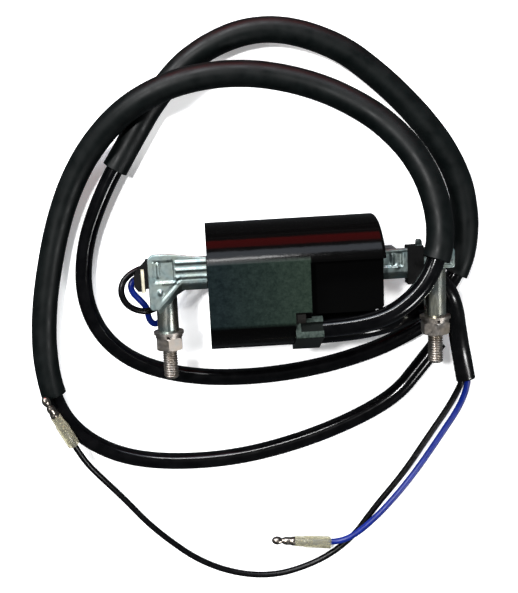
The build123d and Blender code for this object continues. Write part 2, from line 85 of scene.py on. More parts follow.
BLUE_HEAD = [
    (-33, 11.3, 16.3), (-43.5, 11.4, 16.2), (-54.5, 10.9, 16.4), (-62.4, 10.4, 17.3), (-67.2, 8.6, 19),
    (-67.4, 4.6, 19.2), (-64.4, 0.8, 18.2), (-61.4, -3.5, 16.2), (-61.6, -8.2, 14.6), (-59.2, -11.4, 13.2),
    (-55.9, -9.4, 11.6), (-53, -4.2, 8.8), (-49.8, 1.6, 5.6), (-44.8, 6, 2.8), (-37.5, 7.3, 1.4),
    (-22, 7.1, 1.3), (4, 7.4, 1.3), (20, 7.2, 1.3), (31.5, 7.5, 1.9),
]
BLUE_TAIL = [
    (70, -57, 1.6), (62.2, -69, 1.3), (51.5, -84.5, 1.6), (40, -97.5, 3.6), (29.2, -108, 4.6),
    (19, -116, 3.8), (10.8, -117.6, 2.7), (3, -116.8, 2.7),
]
BLACK_HEAD = [
    (-33, 14.2, 16.3), (-43.5, 14.3, 16.3), (-55, 14.1, 16.6), (-63.3, 13.7, 19), (-69.3, 10.7, 22.2),
    (-71.5, 5.3, 23.3), (-69.1, -0.8, 22.9), (-62.7, -4.2, 20.7), (-56.8, -3.1, 17.3), (-51.6, 0.6, 12.4),
    (-45.5, 3.2, 6.8), (-38.5, 4.2, 1.8), (-27.5, 4.1, 1.3), (-8, 4.3, 1.3), (13, 4.1, 1.3), (29.5, 4.7, 1.9),
]
BLACK_TAIL = [
    (67.9, -51.4, 2.2), (63.9, -59, 1.4), (55.2, -71.5, 1.3), (44, -88, 1.3), (31.5, -102.5, 1.3),
    (20.5, -117.5, 1.3), (4.5, -128, 1.3), (-18.5, -133.7, 1.3), (-44.5, -126.3, 1.3), (-66.5, -107.5, 1.3),
    (-79, -91.5, 1.6), (-87.5, -80.5, 4), (-92.9, -72.4, 6.9), (-97, -63.3, 9.3), (-100.5, -54.8, 11.6),
]


# =============================== materials ===============================

class Shader:
    """A material's node tree, with short names for the nodes that the materials here share."""

    def __init__(self, name, colour, rough, metal=0.0, **values):
        self.material = bpy.data.materials.new(name)
        self.material.use_nodes = True
        self.tree = self.material.node_tree
        self.bsdf = self.tree.nodes["Principled BSDF"]
        self.set("Base Color", (*colour, 1.0))
        self.set("Roughness", rough)
        self.set("Metallic", metal)
        for key, value in values.items():
            self.set(key.replace("_", " ").title().replace("Ior", "IOR"), value)
        self.place = self.add("ShaderNodeTexCoord").outputs["Object"]
        self.normal = None

    def set(self, socket, value):
        """A value, or another node's output, for one input of the surface."""
        target = self.bsdf.inputs[socket]
        if isinstance(value, bpy.types.NodeSocket):
            self.tree.links.new(value, target)
        else:
            target.default_value = value

    def add(self, kind, links=None, **settings):
        """A new node, with a value or another node's output for each of its inputs."""
        node = self.tree.nodes.new(kind)
        for key, value in settings.items():
            setattr(node, key, value)
        for socket, value in (links or {}).items():
            if isinstance(value, bpy.types.NodeSocket):
                self.tree.links.new(value, node.inputs[socket])
            else:
                node.inputs[socket].default_value = value
        return node

    def stretched(self, scale):
        """The surface point, scaled along each axis."""
        return self.add("ShaderNodeMapping", {"Vector": self.place, "Scale": scale}).outputs["Vector"]

    def noise(self, size_mm, detail=3.0, stretch=(1, 1, 1), rough=0.5):
        """Noise whose features are about size_mm across."""
        links = {"Vector": self.stretched(stretch), "Scale": 1 / (size_mm * MM)}
        links.update({"Detail": detail, "Roughness": rough})
        return self.add("ShaderNodeTexNoise", links).outputs["Fac"]

    def ramp(self, value, *stops):
        """A value turned to colours or greys by stops of (place, colour or grey)."""
        node = self.add("ShaderNodeValToRGB", {"Fac": value})
        ramp = node.color_ramp
        while len(ramp.elements) < len(stops):
            ramp.elements.new(0.5)
        for element, (place, colour) in zip(ramp.elements, stops):
            element.position = place
            element.color = (*colour, 1.0) if hasattr(colour, "__len__") else (colour, colour, colour, 1.0)
        return node.outputs["Color"]

    def mix(self, factor, a, b):
        """A blend of two colours. Its sockets are taken by number, because their names repeat."""
        node = self.add("ShaderNodeMix", data_type="RGBA")
        for index, value in ((0, factor), (6, a), (7, b)):
            if isinstance(value, bpy.types.NodeSocket):
                self.tree.links.new(value, node.inputs[index])
            elif index:
                node.inputs[index].default_value = (*value, 1.0)
            else:
                node.inputs[index].default_value = value
        return node.outputs[2]

    def math(self, operation, a, b=0.0):
        return self.add("ShaderNodeMath", {0: a, 1: b}, operation=operation).outputs[0]

    def rise(self, value, start_mm, end_mm):
        """0 up to start and 1 from end on, for a value that is a length."""
        links = {"Value": value, "From Min": start_mm * MM, "From Max": end_mm * MM}
        return self.add("ShaderNodeMapRange", links).outputs["Result"]

    def bump(self, height, depth_mm, strength=1.0):
        """Another layer of bump: height from 0 to 1 is worth depth_mm."""
        links = {"Height": height, "Distance": depth_mm * MM, "Strength": strength}
        if self.normal is not None:
            links["Normal"] = self.normal
        self.normal = self.add("ShaderNodeBump", links).outputs["Normal"]
        self.set("Normal", self.normal)

    def axis(self, name):
        """One coordinate of the surface point in the part's frame, in metres."""
        return self.add("ShaderNodeSeparateXYZ", {"Vector": self.place}).outputs[name]


def shade(colour, factor, lift=0.0):
    """A darker or lighter form of a colour."""
    return tuple(min(1.0, c * factor + lift) for c in colour)


def case_plastic():
    """Glossy black moulding: faint orange peel, hairline scratches and a duller, dusty front flat whose tone
    runs from darker bluish at the left end to lighter greenish at the right, a painted reflection.
    """
    black = (0.001, 0.001, 0.001)
    m = Shader("case_plastic", black, 0.16, specular_ior_level=0.05)
    front = m.rise(m.axis("Z"), FRONT_FLAT - 0.85, FRONT_FLAT - 0.1)
    left = m.rise(m.axis("X"), RECESS_LEFT + 0.2, RECESS_LEFT - 0.4)
    flat = m.math("MULTIPLY", front, left)
    grain = m.noise(1.3, 6.0, rough=0.75)
    scratches = m.noise(1.1, 6.0, stretch=(0.12, 1.0, 1.0))
    # Dust on the front flat. Its change from darker bluish at the left end to lighter greenish at the right
    # is a painted reflection.
    bluish = m.ramp(grain, (0.3, (0.001, 0.0025, 0.003)), (0.72, (0.007, 0.012, 0.0125)))
    greenish = m.ramp(grain, (0.3, (0.004, 0.008, 0.006)), (0.72, (0.016, 0.025, 0.018)))
    dust_and_painted_reflection = m.mix(m.rise(m.axis("X"), -32.0, 0.0), bluish, greenish)
    m.set("Base Color", m.mix(flat, black, dust_and_painted_reflection))
    gloss = m.ramp(scratches, (0.3, 0.08), (0.75, 0.14))
    dull = m.ramp(grain, (0.3, 0.30), (0.75, 0.45))
    m.set("Roughness", m.mix(flat, gloss, dull))
    m.bump(m.noise(2.6, 2.0), 0.02)
    m.bump(grain, 0.02, 0.5)
    return m.material


PAINTED_HIGHLIGHT_FROM = 34.0         # start of the retainer's painted highlight on its upper end, along the line from lead B to lead A


def retainer_plastic():
    """Dark moulding, with a painted highlight that makes the outer edges of its upper end lighter."""
    dark = (0.003, 0.004, 0.0035)
    m = Shader("retainer_plastic", dark, 0.3, specular_ior_level=0.06)
    towards_a = Vector((LEAD_A[0] - LEAD_B[0], LEAD_A[1] - LEAD_B[1])).normalized()
    along_y = m.math("MULTIPLY", m.axis("Y"), towards_a.x)
    along_z = m.math("MULTIPLY", m.axis("Z"), towards_a.y)
    # The upper end is lightened with a mottled green-grey: a painted highlight.
    painted_highlight = m.rise(m.math("ADD", along_y, along_z), PAINTED_HIGHLIGHT_FROM, PAINTED_HIGHLIGHT_FROM + 0.4)
    painted_highlight_tone = m.ramp(m.noise(1.2, 4.0), (0.3, (0.010, 0.015, 0.013)), (0.7, (0.040, 0.052, 0.045)))
    m.set("Base Color", m.mix(painted_highlight, dark, painted_highlight_tone))
    m.bump(m.noise(0.6, 4.0), 0.03, 0.5)
    return m.material


def satin_plastic(name, colour, rough, size_mm=0.6):
    """Moulded plastic with a fine grain and a little colour variation."""
    m = Shader(name, colour, rough)
    patches = m.noise(size_mm * 6, 4.0)
    m.set("Base Color", m.ramp(patches, (0.3, shade(colour, 0.7)), (0.7, shade(colour, 1.35))))
    m.set("Roughness", m.ramp(m.noise(size_mm * 3, 3.0), (0.3, rough * 0.8), (0.7, rough * 1.2)))
    m.bump(m.noise(size_mm, 4.0), 0.03, 0.6)
    return m.material


def zinc_steel(name, tint, rough=0.3, brushed=(1, 1, 1)):
    """Zinc plate: bluish and yellowish passivation in patches, with a fine uneven polish."""
    m = Shader(name, tint, rough, metal=1.0)
    bluish = tuple(c * k for c, k in zip(tint, (0.82, 0.94, 0.98)))
    yellowish = tuple(c * k for c, k in zip(tint, (1.0, 0.97, 0.86)))
    m.set("Base Color", m.ramp(m.noise(6.0, 4.0), (0.32, bluish), (0.5, tint), (0.7, yellowish)))
    polish = m.noise(1.2, 6.0, stretch=brushed, rough=0.7)
    m.set("Roughness", m.ramp(polish, (0.3, rough * 0.65), (0.7, rough * 1.5)))
    m.bump(m.noise(4.0, 2.0), 0.04, 0.4)
    return m.material


def jacket(name, colour, rough, size_mm=1.5, shine=0.5):
    """A soft extruded jacket: slightly uneven skin with fine dust."""
    m = Shader(name, colour, rough, specular_ior_level=shine)
    dust = m.noise(size_mm * 4, 5.0, rough=0.65)
    m.set("Base Color", m.ramp(dust, (0.4, colour), (0.75, shade(colour, 1.6, 0.0015))))
    m.set("Roughness", m.ramp(m.noise(size_mm * 2.5, 4.0), (0.3, rough * 0.85), (0.72, rough * 1.3)))
    m.bump(m.noise(size_mm * 5, 2.0), 0.05, 0.5)
    m.bump(m.noise(size_mm * 0.3, 4.0), 0.01, 0.5)
    return m.material


def clear_vinyl():
    """Yellowed clear sleeve: mostly see-through, cloudier in patches."""
    m = Shader("clear_vinyl", (0.58, 0.56, 0.44), 0.2, ior=1.2, specular_ior_level=0.3)
    cloud = m.noise(3.5, 3.0)
    m.set("Base Color", m.ramp(cloud, (0.3, (0.56, 0.54, 0.42)), (0.7, (0.42, 0.40, 0.29))))
    m.set("Transmission Weight", m.ramp(cloud, (0.3, 0.88), (0.75, 0.68)))
    m.set("Roughness", m.ramp(m.noise(2.0, 3.0), (0.3, 0.10), (0.7, 0.22)))
    m.bump(m.noise(4.0, 2.0), 0.06, 0.5)
    return m.material


def wound_copper(name, tint, pitch_mm):
    """Enamelled wire wound round the X axis: fine ridges one wire apart, with painted shade darkening the
    grooves between them.
    """
    m = Shader(name, tint, 0.3, metal=0.9)
    turns = m.math("SINE", m.math("MULTIPLY", m.axis("X"), 2 * math.pi / (pitch_mm * MM)))
    ridge = m.math("ADD", m.math("MULTIPLY", turns, 0.5), 0.5)
    # The grooves between turns are darkened: painted shade.
    m.set("Base Color", m.mix(ridge, shade(tint, 0.45), tint))
    m.bump(ridge, pitch_mm * 0.4, 0.9)
    return m.material


def terminal_metal(name, tint, rough=0.32):
    """Bare or tinned terminal metal with dull patches."""
    m = Shader(name, tint, rough, metal=1.0)
    m.set("Base Color", m.ramp(m.noise(1.5, 5.0), (0.35, shade(tint, 0.6)), (0.6, tint)))
    m.set("Roughness", m.ramp(m.noise(0.6, 4.0), (0.3, rough * 0.7), (0.7, rough * 1.5)))
    m.bump(m.noise(0.4, 3.0), 0.02, 0.6)
    return m.material


def lamination_steel():
    """Stacked electrical steel seen on edge: dark varnish, lighter sheared edges."""
    m = Shader("lamination_steel", (0.20, 0.205, 0.21), 0.42, metal=0.9)
    shear = m.noise(0.8, 5.0, stretch=(0.2, 1, 1))
    m.set("Base Color", m.ramp(shear, (0.35, (0.07, 0.07, 0.075)), (0.7, (0.36, 0.36, 0.35))))
    m.bump(shear, 0.03, 0.7)
    return m.material


def cast_resin():
    """Black potting resin: glossy skin, slow ripples and a few pits."""
    m = Shader("cast_resin", (0.010, 0.009, 0.008), 0.22)
    pits = m.add("ShaderNodeTexVoronoi", {"Vector": m.place, "Scale": 1 / (3.5 * MM)}).outputs["Distance"]
    m.bump(m.ramp(pits, (0.0, 0.0), (0.12, 1.0)), 0.15, 0.8)
    m.bump(m.noise(7.0, 2.0), 0.25, 0.7)
    return m.material


MATERIALS = {
    "case": case_plastic(),
    "retainer": retainer_plastic(),
    "potting": cast_resin(),
    "core": lamination_steel(),
    "bobbin": satin_plastic("bobbin_nylon", (0.70, 0.64, 0.50), 0.45),
    "primary": wound_copper("primary_copper", (0.62, 0.24, 0.08), 0.6),
    "secondary": wound_copper("secondary_copper", (0.50, 0.17, 0.05), 0.12),
    "zinc": zinc_steel("zinc_plate", (0.185, 0.222, 0.215), 0.46),
    "tube": zinc_steel("zinc_tube", (0.50, 0.51, 0.46), 0.24, brushed=(1.0, 0.1, 1.0)),
    "bolt": zinc_steel("zinc_bolt", (0.29, 0.26, 0.235), 0.38),
    "lead": jacket("lead_jacket", (0.0006, 0.0006, 0.0008), 0.13, shine=0.2),
    "sleeve": jacket("sleeve_skin", (0.0006, 0.0013, 0.0013), 0.42, size_mm=2.2, shine=0.12),
    "sheath": jacket("sheath_skin", (0.0008, 0.0008, 0.001), 0.2, shine=0.25),
    "blue": jacket("blue_insulation", (0.0015, 0.008, 0.10), 0.3, size_mm=0.8, shine=0.2),
    "black": jacket("black_insulation", (0.001, 0.001, 0.0012), 0.26, size_mm=0.8, shine=0.12),
    "band": jacket("band_skin", (0.0008, 0.0008, 0.0008), 0.5, shine=0.1),
    "board": satin_plastic("pressed_board", (0.42, 0.39, 0.29), 0.7, size_mm=0.4),
    "vinyl": clear_vinyl(),
    "tinned": terminal_metal("tinned_brass", (0.26, 0.23, 0.20), 0.28),
    "copper": terminal_metal("bare_copper", (0.30, 0.13, 0.07)),
}


def paint(piece, material):
    """One material over a whole piece."""
    if not piece.material_slots:
        piece.data.materials.append(MATERIALS[material])
    for held in piece.material_slots:
        held.material = MATERIALS[material]


# =============================== shared mesh work ===============================

SHARP = math.radians(42)   # a bend sharper than this is shaded as a crease


def metres(point):
    """A point in millimetres as a vector in metres."""
    return Vector(point) * MM


def new_piece(name, mesh_or_curve, material):
    """A finished piece: linked, painted and riding on the root body."""
    piece = bpy.data.objects.new(name, mesh_or_curve)
    bpy.context.scene.collection.objects.link(piece)
    paint(piece, material)
    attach(piece, ROOT)
    return piece


def mesh_of(name, build):
    """A mesh made by build(bmesh), in millimetres, with its normals outward and shaded smooth."""
    work = bmesh.new()
    build(work)
    bmesh.ops.remove_doubles(work, verts=work.verts, dist=1e-5)
    bmesh.ops.recalc_face_normals(work, faces=work.faces)
    for face in work.faces:
        face.smooth = True
    for edge in work.edges:
        edge.smooth = edge.calc_face_angle(0.0) < SHARP
    mesh = bpy.data.meshes.new(name)
    work.transform(Matrix.Scale(MM, 4))
    work.to_mesh(mesh)
    work.free()
    return mesh


def turned(side, up, angle):
    """The direction at an angle from side towards up."""
    return side * math.cos(angle) + up * math.sin(angle)


def add_rings(work, rings, closed=False):
    """Faces between successive rings of points. The first and last are capped, or joined if closed."""
    made = [[work.verts.new(p) for p in ring] for ring in rings]
    pairs = list(zip(made, made[1:]))
    if closed:
        pairs.append((made[-1], made[0]))
    for a, b in pairs:
        for i in range(len(a)):
            j = (i + 1) % len(a)
            work.faces.new((a[i], a[j], b[j], b[i]))
    if not closed:
        work.faces.new(list(reversed(made[0])))
        work.faces.new(made[-1])


def nurbs(name, route):
    """A curve of one smooth spline with the route's corners as its control points."""
    curve = bpy.data.curves.new(name, "CURVE")
    curve.dimensions = "3D"
    spline = curve.splines.new("NURBS")
    spline.points.add(len(route) - 1)
    for point, place in zip(spline.points, route):
        point.co = (*metres(place), 1.0)
    spline.order_u = 3
    spline.use_endpoint_u = True
    spline.resolution_u = 16
    curve.resolution_u = 16
    return curve


def centreline(route):
    """Points along the route's smooth line, in millimetres."""
    curve = nurbs("centreline", route)
    holder = bpy.data.objects.new("centreline", curve)
    bpy.context.scene.collection.objects.link(holder)
    mesh = bpy.data.meshes.new_from_object(holder)
    points = [v.co / MM for v in mesh.vertices]
    bpy.data.objects.remove(holder)
    bpy.data.meshes.remove(mesh)
    bpy.data.curves.remove(curve)
    return points


def stretch_between(points, route, span):
    """The part of a centreline from the middle of one of its route's runs to the middle of another."""
    ends = []
    for run in span:
        middle = (Vector(route[run]) + Vector(route[run + 1])) / 2
        ends.append(min(range(len(points)), key=lambda i: (points[i] - middle).length))
    return points[ends[0]:ends[1] + 1]


def frames(points):
    """At each point: the way on, the level sideways direction and the one square to both."""
    made = []
    for i in range(len(points)):
        ahead = (points[min(i + 1, len(points) - 1)] - points[max(i - 1, 0)]).normalized()
        side = ahead.cross(Vector((0, 0, 1))).normalized()
        made.append((ahead, side, side.cross(ahead)))
    return made


def beside(route, distance):
    """A route's points moved sideways, level with it: the path of one wire in the sheath."""
    points = [Vector(p) for p in route]
    moved = []
    for i, point in enumerate(points):
        ahead = points[min(i + 1, len(points) - 1)] - points[max(i - 1, 0)]
        moved.append(tuple(point + Vector((-ahead.y, ahead.x, 0)).normalized() * distance))
    return moved


def soft_tube(name, points, section, wall, lip=0.25, sides=40):
    """A hollow tube along a line. section(t, angle) gives its outer radius across and up, in millimetres."""
    def ring(i, inset, push):
        ahead, side, up = spots[i]
        t = i / (len(points) - 1)
        made = []
        for k in range(sides):
            angle = 2 * math.pi * k / sides
            across, height = section(t, angle)
            flat = side * math.cos(angle) * (across - inset) + up * math.sin(angle) * (height - inset)
            made.append(points[i] + flat + ahead * push)
        return made

    spots = frames(points)
    last = len(points) - 1
    rings = [ring(0, wall, lip * 0.3), ring(0, wall * 0.7, 0), ring(0, wall * 0.3, 0), ring(0, 0, lip)]
    rings += [ring(i, 0, 0) for i in range(1, last)]
    rings += [ring(last, 0, -lip), ring(last, wall * 0.3, 0), ring(last, wall * 0.7, 0)]
    rings.append(ring(last, wall, -lip * 0.3))
    rings += [ring(i, wall, 0) for i in range(last - 1, 0, -1)]
    return mesh_of(name, lambda work: add_rings(work, rings, closed=True))


def lathe(work, outline, axis, start, sides=48, closed=False):
    """Turns (radius, distance) pairs round an axis from a start point."""
    axis = Vector(axis).normalized()
    other = Vector((0, 0, 1)) if abs(axis.z) < 0.9 else Vector((1, 0, 0))
    side = axis.cross(other).normalized()
    up = side.cross(axis)
    rings = []
    for radius, along in outline:
        centre = Vector(start) + axis * along
        ring = []
        for k in range(sides):
            angle = 2 * math.pi * k / sides
            ring.append(centre + turned(side, up, angle) * radius)
        rings.append(ring)
    add_rings(work, rings, closed=closed)


# =============================== cords ===============================

STRAND_R = 0.36
STRAND_SIDES = 12
OUTER_STRANDS = 6          # round one in the middle
STRAND_BURIED = 3.0        # how far back from the cut end the strands start
STRAND_STEP = 0.45
STRAND_TWIST = 0.5         # radians for each millimetre
SLEEVE_WALL = 1.3
SHEATH_WALL = 0.55
SHEATH_FLATTENS = 0.35     # share of the sheath's length after which it flattens


def lead_curve(name, route, radius, material):
    """A round cord as a bevelled smooth curve."""
    curve = nurbs(name, route)
    curve.bevel_depth = radius * MM
    curve.bevel_resolution = 7
    curve.use_fill_caps = True
    return new_piece(name, curve, material)


def make_conductor(letter, route):
    """Seven twisted strands that stand a little out of a plug lead's cut end."""
    tip = Vector(route[-1])
    out = (tip - Vector(route[-2])).normalized()
    side = out.cross(Vector((0, 0, 1))).normalized()
    up = side.cross(out)
    angles = [2 * math.pi * i / STRAND_SIDES for i in range(STRAND_SIDES)]

    def build(work):
        for k in range(OUTER_STRANDS + 1):
            reach = 0.0 if k == OUTER_STRANDS else 2 * STRAND_R
            rings = []
            for step in range(9):
                along = STRAND_STEP * step - STRAND_BURIED
                turn = 2 * math.pi * k / OUTER_STRANDS + along * STRAND_TWIST
                centre = tip + out * along + turned(side, up, turn) * reach
                rings.append([centre + turned(side, up, angle) * STRAND_R for angle in angles])
            add_rings(work, rings)

    name = f"conductor_{letter}"
    piece = new_piece(name, mesh_of(name, build), "copper")
    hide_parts(f"ht_conductor_{letter}")
    return piece


def make_sleeve(letter, route, span, seed):
    """A soft sleeve over a plug lead: a little oval and uneven along its length."""
    points = stretch_between(centreline(route), route, span)

    def section(t, angle):
        waver = noise.noise(Vector((t * 22, math.cos(angle), math.sin(angle) + seed))) * 0.10
        flare = 0.10 * math.exp(-min(t, 1 - t) * 60)
        return SLEEVE_R - 0.05 + waver + flare, SLEEVE_R - 0.15 + waver + flare

    name = f"sleeve_{letter}"
    mesh = soft_tube(name, points, section, SLEEVE_WALL)
    piece = new_piece(name, mesh, "sleeve")
    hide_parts(f"lead_sleeve_{letter}")
    return piece


def make_sheath():
    """The black sheath round both low-tension wires: round at its start, flattened towards its open end."""
    points = centreline(SHEATH)

    def section(t, angle):
        past = max(0.0, (t - SHEATH_FLATTENS) / (1 - SHEATH_FLATTENS))
        flat = 0.5 - 0.5 * math.cos(math.pi * past)
        waver = noise.noise(Vector((t * 9, math.cos(angle), math.sin(angle)))) * 0.12
        return SHEATH_R - 0.1 + 0.55 * flat + waver, SHEATH_R - 0.1 - 1.0 * flat + waver

    piece = new_piece("sheath", soft_tube("sheath", points, section, SHEATH_WALL), "sheath")
    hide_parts("wire_sheath")
    return piece


def make_cords():
    """Both plug leads and both low-tension wires, each with what is on it."""
    for letter, route in (("a", ROUTE_A), ("b", ROUTE_B)):
        lead = lead_curve(f"plug_lead_{letter}", route, LEAD_R, "lead")
        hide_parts(f"ht_lead_{letter}")
    on_a = [make_sleeve("a", ROUTE_A, SLEEVE_A, 3.1), make_conductor("a", ROUTE_A)]
    on_b = [make_sleeve("b", ROUTE_B, SLEEVE_B, 8.4), make_conductor("b", ROUTE_B)]

    blue_route = [*BLUE_HEAD, *beside(SHEATH, WIRE_SPREAD), *BLUE_TAIL]
    black_route = [*BLACK_HEAD, *beside(SHEATH, -WIRE_SPREAD), *BLACK_TAIL]
    blue = lead_curve("wire_blue", blue_route, WIRE_R, "blue")
    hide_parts("blue_wire")
    black = lead_curve("wire_black", black_route, WIRE_R, "black")
    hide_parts("black_wire")
    on_blue = make_bullet("blue", BLUE_TAIL)
    on_black = make_bullet("black", BLACK_TAIL)
    shared = [make_sheath(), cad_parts["wire_block"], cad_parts["insulator_strip"]]


# =============================== bullet terminals ===============================

# Outlines as pairs of radius and distance beyond the wire's end.
BULLET = [
    (1.6, 0.0), (1.6, 7.2), (1.72, 7.5), (1.95, 7.9), (1.98, 8.6), (1.95, 9.2), (1.72, 9.5), (1.68, 9.9),
    (1.7, 10.6), (1.76, 11.4), (1.7, 12.2), (1.45, 12.8), (1.18, 13.2), (1.14, 13.6), (1.3, 14.0),
    (1.6, 14.6), (1.74, 15.3), (1.74, 16.0), (1.6, 16.7), (1.3, 17.3), (0.9, 17.75), (0.4, 17.97),
    (0.02, 18.0),
]
CLEAR_SLEEVE = [           # outside from the wire's side to the tip's side, then back along the inside
    (2.3, -8.2), (2.55, -8.1), (2.6, -7.6), (2.62, -2.0), (2.56, 2.8), (2.4, 3.4), (2.25, 3.9), (2.22, 7.4),
    (2.15, 7.8), (1.85, 7.75), (1.8, 7.2), (1.82, 3.6), (2.0, 2.6), (2.05, -2.0), (2.05, -7.8), (2.1, -8.15),
]
CRIMP_EAR = [(1.6, -0.5), (1.78, -0.4), (1.8, 0.0), (1.78, 0.4), (1.6, 0.5)]
CRIMP_EARS = (1.2, 2.6, 4.6, 6.0)


def make_bullet(colour, tail):
    """A bullet terminal, its crimp with folded ears, and the clear sleeve over the crimp."""
    tip = Vector(tail[-1])
    out = (tip - Vector(tail[-2])).normalized()

    def metal(work):
        lathe(work, BULLET, out, tip)
        for along in CRIMP_EARS:
            lathe(work, CRIMP_EAR, out, tip + out * along)

    def clear(work):
        lathe(work, CLEAR_SLEEVE, out, tip, closed=True)

    pieces = []
    for part, build, material, slot in (("bullet", metal, "tinned", "plated_terminal"),
                                        ("bullet_sleeve", clear, "vinyl", "clear_sleeve")):
        name = f"{part}_on_{colour}"
        piece = new_piece(name, mesh_of(name, build), material)
        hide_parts(f"{part}_{colour}")
        pieces.append(piece)
    return pieces


# =============================== brackets and bolts ===============================

FRONT = WEB_BACK + SHEET
BRACKET_END = 59.5
LUG_INNER = 47.3
LUG_FRONT = AXIS_Y + 4.75
LUG_BACK = LUG_FRONT - SHEET
LUG_BOTTOM = AXIS_Z - 6.0
LUG_TOP = FRONT - 0.6
LUG_EDGE = 0.2
LUG_HOLE_R = 2.72
LUG_SQUARENESS = 9         # power of the superellipse that is the lug's outline
FLANGE = 3.2               # how far the bent flange reaches below the arm's lower edge
NO_FLANGE = 0.3            # its drop where there is none: only a rounded edge
BEND_R = 0.6
EDGE_R = 0.4
ACROSS = 46                # points across a bracket's face
STEP = 0.3                 # distance between its cross-sections
END_STEP = 0.25            # the same between each end and the cross-section next to it
END_THINNER = 0.3          # what each face steps in by at the very end
LEFT_TOP = 20.5
LEFT_TOE = -1.2            # lowest edge of the left pad
LEFT_SLOPE = (-56.4, -46.8)
LEFT_EDGE = 8.6            # lower edge of the left arm
LEFT_RIBS = (16.8, 13.9, 11.0)
LEFT_NUB = (-55.0, 5.4)
RIGHT_TOP = 17.2
RIGHT_EDGE = 8.2
TAB = (44.3, 46.6)
TAB_TOP = 20.6
RIGHT_DIMPLE = (37.0, 10.4)


def bump(distance, reach):
    """A smooth rise from 0 at reach to 1 in the middle."""
    return 0.5 + 0.5 * math.cos(math.pi * distance / reach) if abs(distance) < reach else 0.0


def ramp_up(value, start, width):
    """A smooth step from 0 at start to 1 a width further on."""
    t = min(1.0, max(0.0, (value - start) / width))
    return t * t * (3 - 2 * t)


def plateau(value, low, high, soft=0.7):
    """1 between low and high, with soft shoulders inside them."""
    return ramp_up(value, low, soft) * (1 - ramp_up(value, high - soft, soft))


def rounded_end(distance, radius):
    """How far a rounded corner cuts in at this distance from a plate's end."""
    if distance >= radius:
        return 0.0
    return radius - math.sqrt(radius ** 2 - (radius - max(0.0, distance)) ** 2)


def sheet_ring(x, top, low, drop, relief, thinner):
    """One cross-section of a pressed sheet: face, flange bent back at 45 degrees, and back."""
    base = [(top - EDGE_R - (top - EDGE_R - low) * i / ACROSS, FRONT) for i in range(ACROSS)]
    for i in range(9):
        s = drop * i / 8
        base.append((low - s, FRONT - (math.sqrt(s * s + BEND_R ** 2) - BEND_R)))
    face, back = [], []
    for i, (y, z) in enumerate(base):
        before, after = base[max(0, i - 1)], base[min(len(base) - 1, i + 1)]
        along = Vector((before[0] - after[0], before[1] - after[1])).normalized()
        normal = Vector((-along.y, along.x))
        raised = relief(x, y) if y > low else 0.0
        face.append(Vector((y, z)) + normal * (raised - thinner))
        back.append(Vector((y, z)) - normal * (SHEET - thinner))
    middle = FRONT - SHEET / 2
    crown = [Vector((top, middle - EDGE_R)), Vector((top, middle + EDGE_R))]
    crown.append(Vector((top - 0.12, FRONT - 0.14 - thinner)))
    outline = crown + face + list(reversed(back))
    return [Vector((x, p.x, p.y)) for p in outline]


def pressed_sheet(work, shape, relief, ends):
    """A pressed sheet between two ends in X. shape(x) gives its top edge, lower edge and flange drop."""
    start, finish = ends
    count = round((finish - start) / STEP)
    rings = [sheet_ring(start, *shape(start), relief, END_THINNER)]
    for i in range(count + 1):
        x = start + END_STEP + (finish - start - 2 * END_STEP) * i / count
        rings.append(sheet_ring(x, *shape(x), relief, 0.0))
    rings.append(sheet_ring(finish, *shape(finish), relief, END_THINNER))
    add_rings(work, rings)


def lug_plate(work, side):
    """The lug that stands square to the bolt, with the bolt's hole."""
    centre = side * BOLT_X
    low, high = sorted((side * BRACKET_END, side * LUG_INNER))
    rings = [[] for _ in range(6)]
    for k in range(64):
        angle = 2 * math.pi * k / 64
        cos, sin = math.cos(angle), math.sin(angle)
        limit_x = (high - centre) if cos > 0 else (centre - low)
        limit_z = (LUG_TOP - AXIS_Z) if sin > 0 else (AXIS_Z - LUG_BOTTOM)
        reach = abs(cos / limit_x) ** LUG_SQUARENESS + abs(sin / limit_z) ** LUG_SQUARENESS
        outer = reach ** (-1 / LUG_SQUARENESS)
        stations = (
            (outer - LUG_EDGE, LUG_FRONT), (outer, LUG_FRONT - LUG_EDGE), (outer, LUG_BACK + LUG_EDGE),
            (outer - LUG_EDGE, LUG_BACK), (LUG_HOLE_R, LUG_BACK), (LUG_HOLE_R, LUG_FRONT),
        )
        for ring, (radius, y) in zip(rings, stations):
            ring.append(Vector((centre + cos * radius, y, AXIS_Z + sin * radius)))
    add_rings(work, rings, closed=True)


def left_shape(x):
    """Top edge, lower edge and flange drop of the left bracket: an arm that widens to a pad."""
    from_end = x + BRACKET_END
    top = LEFT_TOP - 2.0 * ramp_up(x, -54.0, 18.0) - rounded_end(from_end, 3.0)
    start, finish = LEFT_SLOPE
    slope = min(1.0, max(0.0, (x - start) / (finish - start)))
    low = LEFT_TOE + (LEFT_EDGE - LEFT_TOE) * slope + rounded_end(from_end, 1.5)
    drop = NO_FLANGE + (FLANGE - NO_FLANGE) * ramp_up(x, start - 0.2, 0.8)
    return top, low, drop


def left_relief(x, y):
    """How far the left bracket's face is raised: ribs on the arm, and a pocket, beads and nub on the pad."""
    ribs = 0.55 * sum(bump(y - c, 1.15) for c in LEFT_RIBS) * plateau(x, -49.0, -36.0)
    pocket = -0.5 * plateau(x, -57.6, -49.2) * plateau(y, 9.2, 18.0)
    upright = 0.55 * bump(x + 55.4, 1.0) * plateau(y, 11.0, 17.2)
    level = 0.35 * bump(y - 9.0, 0.9) * plateau(x, -54.5, -47.5)
    nub = bump(math.dist((x, y), LEFT_NUB), 1.5)
    groove = -0.35 * bump(y - left_shape(x)[1] - 2.2, 1.2) * plateau(x, -55.5, -36.0, 2.0)
    return ribs + pocket + upright + level + nub + groove


